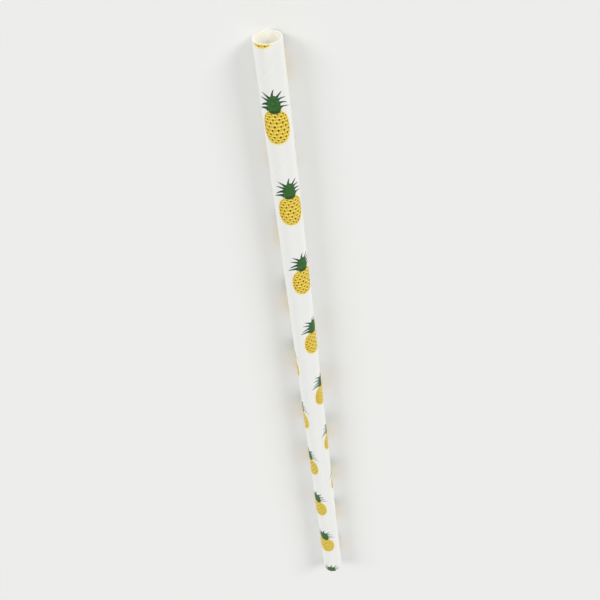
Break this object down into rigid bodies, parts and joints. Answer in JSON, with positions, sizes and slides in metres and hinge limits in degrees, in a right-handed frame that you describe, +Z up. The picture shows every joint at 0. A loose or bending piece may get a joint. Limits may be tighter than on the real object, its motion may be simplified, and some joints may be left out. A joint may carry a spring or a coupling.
{
  "type": "paper drinking straw",
  "caption": "Straight spiral-wound paper drinking straw: a thin-walled round tube, cut square at both ends, with a fine helical seam and a printed outer ply.",
  "frame": {"origin": "on the surface that the straw lies on, below the middle of its length", "axes": "+X along the tube towards the drinking end, +Z up from the surface that it lies on"},
  "size_m": [0.197, 0.006, 0.006],
  "materials": {
    "printed_paper": "smooth white paper, lightly calendered outside, with a repeated printed ornament"
  },
  "bodies": {
    "root": {"paper_tube": "printed_paper"}
  },
  "joints": []
}
